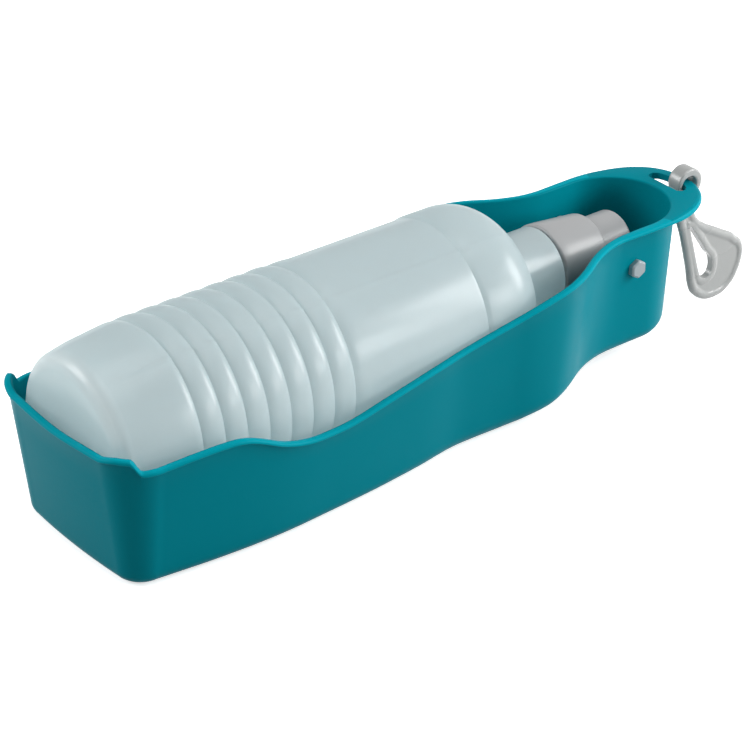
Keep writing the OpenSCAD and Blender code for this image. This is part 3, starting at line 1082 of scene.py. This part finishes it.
@dataclass
class Valve:
    """Screw cap, the rotary valve housing that carries it, and the spindle that the housing turns on."""

    cap_rear: float = 71.0
    cap_front: float = 92.8
    rear_r: float = 15.8
    front_r: float = 13.9
    bore_r: float = 13.3
    rear_round: float = 0.9
    front_round: float = 1.1
    mouth_l: float = 5.0
    # Steps in x and radius: lead-in of the mouth, and the two ends of the taper.
    lead_in: tuple[Point2, ...] = ((0.5, 0.1), (0.0, 0.9))
    taper_start: Point2 = (4.0, -0.2)
    taper_end: Point2 = (-1.2, 0.05)
    seat_x: float = 88.0
    seat_bevel: Point2 = (0.8, 1.2)
    spigot_r: float = 7.2
    spigot_play: float = 0.1
    barrel_r: float = 11.2
    barrel_front: float = 107.4
    barrel_gap: float = 0.05
    barrel_bevel: float = 0.3
    barrel_round: float = 1.5
    nose_r: float = 4.4
    nose_step: float = 0.8
    boss_r: float = 4.9
    boss_end: float = 13.0
    bore_play: float = 0.05
    channel_r: float = 2.2
    channel_half_l: float = 30.0
    spindle_r: float = 4.0
    round_end: float = 20.09
    spindle_end: float = 24.6
    head_af: float = 6.3
    head_corner: float = 3.46
    head_bevel: float = 0.6
    head_bevel_share: float = 0.4
    groove_y: float = 9.0
    groove_half_w: float = 0.7
    groove_r: float = 2.8
    port_r: float = 1.8
    port_half_l: float = 10.0
    port_angle: float = 25.0
    barrel_crease: float = 30.0
    spindle_crease: float = 26.0
    spindle_sides: int = 72
    boss_sides: int = 96
    bore_sides: int = 72
    channel_sides: int = 40

    def cap(self) -> bpy.types.Object:
        """Tapered cap with rolled edges, open at the back.

        Returns:
            The cap.
        """
        rear, front = self.rear_round, self.front_round
        hole_r = self.spigot_r + self.spigot_play
        start = (self.cap_rear + self.mouth_l, self.bore_r)
        line = [start, *((self.cap_rear + x, self.bore_r + r) for x, r in self.lead_in)]
        line += arc(self.cap_rear + rear, self.rear_r - rear, rear, 180, 90, 6)
        line += [(self.cap_rear + self.taper_start[0], self.rear_r + self.taper_start[1])]
        line += [(self.cap_front + self.taper_end[0], self.front_r + self.taper_end[1])]
        line += arc(self.cap_front - front, self.front_r - front, front, 80, 0, 6)
        line += [(self.cap_front, hole_r), (self.seat_x, hole_r)]
        bevel_x, bevel_r = self.seat_bevel
        line += [(self.seat_x, self.bore_r - bevel_r), (self.seat_x - bevel_x, self.bore_r)]
        return turned("tapered_cap", [*line, start])

    def housing(self) -> bpy.types.Object:
        """Valve barrel with a rounded front edge, side bosses, spindle bore and water channel.

        Returns:
            The housing.
        """
        back, bevel, rr = self.cap_front + self.barrel_gap, self.barrel_bevel, self.barrel_round
        line = [(self.seat_x, 0.0), (self.seat_x, self.spigot_r), (back, self.spigot_r)]
        line += [(back, self.barrel_r - bevel), (back + bevel, self.barrel_r)]
        line += arc(self.barrel_front - rr, self.barrel_r - rr, rr, 90, 0, 8)
        nose_x = self.barrel_front - self.nose_step
        line += [(self.barrel_front, self.nose_r), (nose_x, self.nose_r - self.nose_step), (nose_x, 0.0)]
        barrel = turned("valve_barrel", line)
        across, along = at_pivot(90, "X"), at_pivot(90, "Y")
        boss = prism("boss", circle(self.boss_r, self.boss_sides), -self.boss_end, self.boss_end, across)
        machine(barrel, Tooling.JOIN, [boss])
        bore_r, half = self.spindle_r + self.bore_play, self.channel_half_l
        bore = prism("bore", circle(bore_r, self.bore_sides), -THROUGH, THROUGH, across)
        channel = prism("channel", circle(self.channel_r, self.channel_sides), -half, half, along)
        machine(barrel, Tooling.CUT, [bore, channel])
        shade(barrel.data, self.barrel_crease)
        return barrel

    def head_r(self, angle: float, across_flats: float) -> float:
        """Radius of the six-sided head at an angle from straight up, with its corners eased."""
        flat = across_flats / 2.0 / math.cos(math.radians(angle % 60.0 - 30.0))
        return min(flat, self.head_corner * across_flats / self.head_af)

    def spindle(self) -> bpy.types.Object:
        """Spindle across the neck: round in the housing, six-sided at its ends, with seal grooves and a port.

        Returns:
            The spindle.
        """
        end, af, bevel, sides = self.spindle_end, self.head_af, self.head_bevel, self.spindle_sides
        inner, outer = self.groove_y - self.groove_half_w, self.groove_y + self.groove_half_w
        head = [(end, af - 2.0 * bevel), (end - self.head_bevel_share * bevel, af - bevel)]
        head += [(end - bevel, af), (self.round_end, af)]
        shaft = [(self.round_end, self.spindle_r), (outer, self.spindle_r), (outer, self.groove_r)]
        shaft += [(inner, self.groove_r), (inner, self.spindle_r)]
        angles = [360.0 * k / sides for k in range(sides)]
        half = [(y, [self.head_r(a, flats) for a in angles]) for y, flats in head]
        half += [(y, [r] * sides) for y, r in shaft]
        rings = [(-y, radii) for y, radii in half] + half[::-1]
        points: list[Point3] = []
        for y, radii in rings:
            spots = [polar(r, a) for r, a in zip(radii, angles)]
            points += [(PIVOT_X + ahead, y, AXIS_Z + up) for up, ahead in spots]
        ends = [tuple(range(sides)), tuple(range(len(points) - sides, len(points)))]
        faces = ends + tube_faces(len(rings), sides, closed=False)
        obj = new_object("spindle_pin", mesh_from("spindle_pin", points, faces))
        reach = self.port_half_l
        outline = circle(self.port_r, self.channel_sides)
        port = prism("port", outline, -reach, reach, at_pivot(self.port_angle, "Y"))
        machine(obj, Tooling.CUT, [port])
        shade(obj.data, self.spindle_crease)
        return obj

    def build(self, finisher: Finisher) -> None:
        """Makes the cap, the housing and the spindle and ties them to their bodies.

        Args:
            finisher: dresses the pieces.
        """
        finisher.dress(self.cap(), Slot.CAP, "valve", "screw_cap")
        finisher.dress(self.housing(), Slot.CAP, "valve", "valve_housing")
        finisher.dress(self.spindle(), Slot.PIN, "trough", "valve_spindle")
        finisher.keep("cap_gasket", Slot.GASKET)
        finisher.keep("spindle_seal_near", Slot.SEAL)
        finisher.keep("spindle_seal_far", Slot.SEAL)


# --------------------------------------------------------------------------- clip


@dataclass
class Clip:
    """Carry clip: a ring on the flange's bar, and a fin-shaped hook with a drop-shaped eye."""

    centre: Point3 = (139.6, -2.7, 55.45)
    ring_in: float = 3.65
    ring_out: float = 5.87
    ring_hole: Point2 = (-0.36, -0.7)
    ring_half_w: float = 3.22
    ring_round: float = 0.68
    web_t: float = 2.0
    edge_half_w: float = 1.9
    edge_half_t: float = 1.62
    rim_half_w: float = 2.3
    rim_half_t: float = 1.6
    rim_inset: float = 1.1
    gate_play: float = 0.07
    # Cuts round the gate, in the hook's plane.
    gate_top: float = -19.8
    gate_foot: float = -42.0
    gate_side: float = -9.0
    gate_corner: float = 3.2
    gate_root: tuple[Point2, ...] = ((1.4, -19.8), (3.1, -20.1))
    gate_back: tuple[Point2, ...] = ((5.0, -24.0), (9.7, -41.0))
    gate_heel: float = 9.0
    tool_half_t: float = 6.0
    voxel: float = 0.26
    smoothing: int = 6
    crease: float = 50.0
    bead_sides: int = 20
    ring_steps: int = 72
    curve_steps: int = 5
    # Outlines in the hook's plane, measured from the ring's centre.
    hook: list[Point2] = field(default_factory=lambda: [
        (-3.2, -5.2), (-3.5, -12), (-2.8, -17.3), (-1.1, -22.2), (0.2, -26.9), (1.7, -32.5), (3.1, -38.2),
        (4.2, -44), (5.7, -48.3), (7.8, -50.7), (10.1, -52.6), (13.2, -54.2), (16.3, -54.8), (19.1, -54.8),
        (22.4, -54.3), (25.6, -52.5), (28.6, -49.7), (31, -45.2), (32.2, -41), (32.3, -37.6), (31.5, -34.9),
        (30, -32.9), (28.2, -31.5), (26.1, -29.5), (22.4, -27.4), (17.5, -24.5), (12.5, -21.7), (9, -19.2),
        (7.2, -17.4), (5.5, -14.6), (4, -11), (3.2, -5.2),
    ])
    eye: list[Point2] = field(default_factory=lambda: [
        (3, -20), (5.1, -28), (7.8, -37.5), (9.2, -41.8), (10.4, -43.6), (12.5, -44.4), (14.5, -43.6),
        (15.7, -41.2), (15.7, -38.7), (14.9, -36.1), (12.6, -33.4), (10.3, -29.9), (7.4, -25.6), (4.7, -21.4),
    ])

    def place(self) -> Matrix:
        """Matrix from the hook's own plane to the part's frame, in millimetres."""
        return Matrix.Translation(self.centre) @ Matrix.Rotation(math.radians(90), 4, "X")

    def plate(self, name: str, outline: Sequence[Point2], half_t: float) -> bpy.types.Object:
        """Flat plate on an outline in the hook's plane."""
        return prism(name, outline, -half_t, half_t, self.place())

    def bead(self, name: str, path: Sequence[Point2], half_w: float, half_t: float) -> bpy.types.Object:
        """Closed bead of elliptical section along a path of the hook's plane.

        Args:
            name: name of the bead.
            path: points in the plane; the last leads back to the first.
            half_w: half of its width in the plane.
            half_t: half of its thickness.

        Returns:
            The bead, as a closed mesh.
        """
        sides, n = self.bead_sides, len(path)
        points: list[Point3] = []
        for i, (x, y) in enumerate(path):
            (ax, ay), (bx, by) = path[i - 1], path[(i + 1) % n]
            length = math.hypot(bx - ax, by - ay)
            nx, ny = -(by - ay) / length, (bx - ax) / length
            for k in range(sides):
                a = 2.0 * math.pi * k / sides
                off, up = half_w * math.cos(a), half_t * math.sin(a)
                points.append(tuple(self.place() @ Vector((x + off * nx, y + off * ny, up))))
        return new_object(name, mesh_from(name, points, tube_faces(n, sides, closed=True)))

    def ring(self) -> bpy.types.Object:
        """Wide band with rounded edges that runs on the flange's bar, thicker on top.

        Returns:
            The ring.
        """
        rr, half = self.ring_round, self.ring_half_w
        hx, hy = self.ring_hole
        corners = (
            (0.0, 0.0, self.ring_out - rr, half - rr, 0), (hx, hy, self.ring_in + rr, half - rr, 90),
            (hx, hy, self.ring_in + rr, rr - half, 180), (0.0, 0.0, self.ring_out - rr, rr - half, 270),
        )
        section = [
            (cx, cy, r, z)
            for cx, cy, mid_r, mid_z, a in corners
            for r, z in arc(mid_r, mid_z, rr, a, a + 90, 4)
        ]
        steps = self.ring_steps
        points = [
            tuple(self.place() @ Vector((cx + r * math.cos(a), cy + r * math.sin(a), z)))
            for a in (2.0 * math.pi * k / steps for k in range(steps))
            for cx, cy, r, z in section
        ]
        return new_object("ring", mesh_from("ring", points, tube_faces(steps, len(section), closed=True)))

    def inset(self, rows: Sequence[Point2], amount: float) -> list[Point2]:
        """Outline moved along its own normals.

        Args:
            rows: points that the closed outline runs through.
            amount: the move, inward when it is positive.

        Returns:
            The moved outline.
        """
        points = loop_points(rows, self.curve_steps)
        n = len(points)
        area = sum(ax * by - bx * ay for (ax, ay), (bx, by) in zip(points, points[1:] + points[:1]))
        side = 1.0 if area > 0 else -1.0
        moved: list[Point2] = []
        for i, (x, y) in enumerate(points):
            (ax, ay), (bx, by) = points[i - 1], points[(i + 1) % n]
            length = math.hypot(bx - ax, by - ay)
            moved.append((x - side * amount * (by - ay) / length, y + side * amount * (bx - ax) / length))
        return moved

    def gate_zone(self, play: float) -> bpy.types.Object:
        """Prism round the sprung side of the hook, widened by some play.

        Args:
            play: gap at the cuts; without any, the root is also eased so that the gate can bend.

        Returns:
            The prism.
        """
        top, foot = self.gate_top + play, self.gate_foot - play
        root = [(self.gate_corner + play, top)] if play else self.gate_root
        back = [(x + play, y) for x, y in self.gate_back]
        zone = [(self.gate_side, top), *root, *back, (self.gate_heel + play, foot), (self.gate_side, foot)]
        return self.plate("gate_zone", zone, self.tool_half_t)

    def moulded(
        self, name: str, parts: Sequence[bpy.types.Object], tooling: Tooling, play: float
    ) -> bpy.types.Object:
        """Closed hook with raised edges, melted together with other parts and then cut round the gate.

        Args:
            name: name of the piece.
            parts: parts to melt in.
            tooling: whether the gate's zone is cut away or kept.
            play: gap at the gate's cuts.

        Returns:
            The piece, with the eye cut out.
        """
        outer = self.inset(self.hook, self.edge_half_w)
        edge = self.bead("edge", outer, self.edge_half_w, self.edge_half_t)
        rim = self.bead("rim", self.inset(self.eye, -self.rim_inset), self.rim_half_w, self.rim_half_t)
        web = self.plate("web", outer, self.web_t / 2)
        piece = fuse(name, [*parts, edge, rim, web], self.voxel, self.smoothing)
        eye = self.plate("eye_tool", loop_points(self.eye, self.curve_steps), self.tool_half_t)
        machine(piece, Tooling.CUT, [eye])
        machine(piece, tooling, [self.gate_zone(play)])
        shade(piece.data, self.crease)
        return piece

    def build(self, finisher: Finisher) -> None:
        """Makes the clip and its gate and ties each to its body.

        Args:
            finisher: dresses the pieces.
        """
        hook = self.moulded("clip_hook", [self.ring()], Tooling.CUT, self.gate_play)
        finisher.dress(hook, Slot.CLIP, "clip", "carry_clip")
        gate = self.moulded("clip_gate_arm", [], Tooling.KEEP_INSIDE, 0.0)
        finisher.dress(gate, Slot.CLIP, "gate", "clip_gate")


# --------------------------------------------------------------------------- studio


def aim(name: str, data: bpy.types.ID, place: Vector, back: Vector) -> bpy.types.Object:
    """Sets up a lamp or the camera.

    Args:
        name: name of the object.
        data: the lamp or camera.
        place: where it stands, in millimetres.
        back: direction that its back is turned to.

    Returns:
        The object.
    """
    obj = new_object(name, data)
    obj.location = place * MM
    obj.rotation_euler = back.to_track_quat("Z", "Y").to_euler()
    return obj


@dataclass(frozen=True)
class Lamp:
    """A soft rectangular lamp: place, target and size in millimetres, power in watts."""

    name: str
    place: Point3
    target: Point3
    size: Point2
    power: float

    def build(self) -> None:
        """Hangs the lamp and turns it to its target."""
        data = bpy.data.lights.new(self.name, "AREA")
        data.shape = "RECTANGLE"
        data.size, data.size_y = self.size[0] * MM, self.size[1] * MM
        data.energy = self.power
        aim(self.name, data, Vector(self.place), Vector(self.place) - Vector(self.target))


@dataclass
class Studio:
    """White floor and surround, soft lamps and the camera."""

    azimuth: float = -38.14
    elevation: float = 29.87
    distance: float = 1104.5
    target: Point3 = (11.1, 20.7, 7.7)
    lens: float = 146.8
    sensor: float = 36.0
    view_range: Point2 = (10.0, 20000.0)
    floor_half: float = 4000.0
    floor_z: float = -0.05
    floor_paint: float = 0.92
    floor_bounce: float = 0.5
    floor_glow: float = 0.62
    world_strength: float = 0.22
    mirrored_white: float = 0.8
    lamps: tuple[Lamp, ...] = (
        Lamp("top_lamp", (50, -100, 1300), (0, 0, 40), (1200, 900), 7.0),
        Lamp("key_lamp", (850, -480, 420), (60, 0, 40), (430, 500), 8.0),
        Lamp("front_lamp", (700, -1150, 430), (0, 0, 30), (500, 380), 5.5),
        Lamp("left_lamp", (-1000, 800, 700), (-100, 0, 40), (600, 700), 11.0),
    )

    def camera(self) -> None:
        """Places the camera and turns it to its target."""
        a, e = math.radians(self.azimuth), math.radians(self.elevation)
        back = Vector((math.sin(a) * math.cos(e), -math.cos(a) * math.cos(e), math.sin(e)))
        data = bpy.data.cameras.new("camera")
        data.lens = self.lens
        data.sensor_width = self.sensor
        data.clip_start, data.clip_end = (d * MM for d in self.view_range)
        bpy.context.scene.camera = aim("camera", data, Vector(self.target) + back * self.distance, back)

    def floor(self) -> None:
        """Lays a wide white floor that shows white to the camera and keeps the shadow."""
        half = self.floor_half
        corners = [(-half, -half, 0), (half, -half, 0), (half, half, 0), (-half, half, 0)]
        mesh = mesh_from("floor", corners, [(0, 1, 2, 3)])
        obj = new_object("floor", mesh)
        obj.location.z = self.floor_z * MM
        material = bpy.data.materials.new("white_floor")
        tree = ShaderTree(material)
        paint = tree.add("BsdfDiffuse", {"Color": (*[self.floor_paint] * 3, 1.0)})
        bounce = tree.add("BsdfDiffuse", {"Color": (*[self.floor_bounce] * 3, 1.0)})
        shown = tree.add("AddShader", {0: paint, 1: tree.add("Emission", {"Strength": self.floor_glow})})
        mix = tree.add("MixShader", {0: tree.seen_directly(), 1: bounce, 2: shown})
        tree.add("OutputMaterial", {"Surface": mix})
        mesh.materials.append(material)

    def world(self) -> None:
        """Sets an even surround that lights softly, shows as pure white and mirrors a little darker."""
        world = bpy.data.worlds.new("surround")
        bpy.context.scene.world = world
        tree = ShaderTree(world)
        camera = tree.add("LightPath").outputs["Is Camera Ray"]
        strength = tree.add("Math", {0: camera, 1: self.mirrored_white}, operation="MAXIMUM")
        shown = tree.add("Background", {"Color": (1.0, 1.0, 1.0, 1.0), "Strength": strength})
        light = tree.add("Background", {"Strength": self.world_strength})
        mix = tree.add("MixShader", {0: tree.seen_directly(), 1: light, 2: shown})
        tree.add("OutputWorld", {"Surface": mix})

    def build(self) -> None:
        """Makes the studio."""
        scene = bpy.context.scene
        scene.view_settings.view_transform = "Standard"
        self.camera()
        self.floor()
        self.world()
        for lamp in self.lamps:
            lamp.build()


def main() -> None:
    """Builds the pieces in order, then the studio."""
    logging.basicConfig(level=logging.INFO, format="%(name)s: %(message)s")
    finisher = Finisher()
    for part in (Trough(), Bottle(), Valve(), Clip()):
        part.build(finisher)
    Studio().build()


if __name__ == "__main__":
    main()
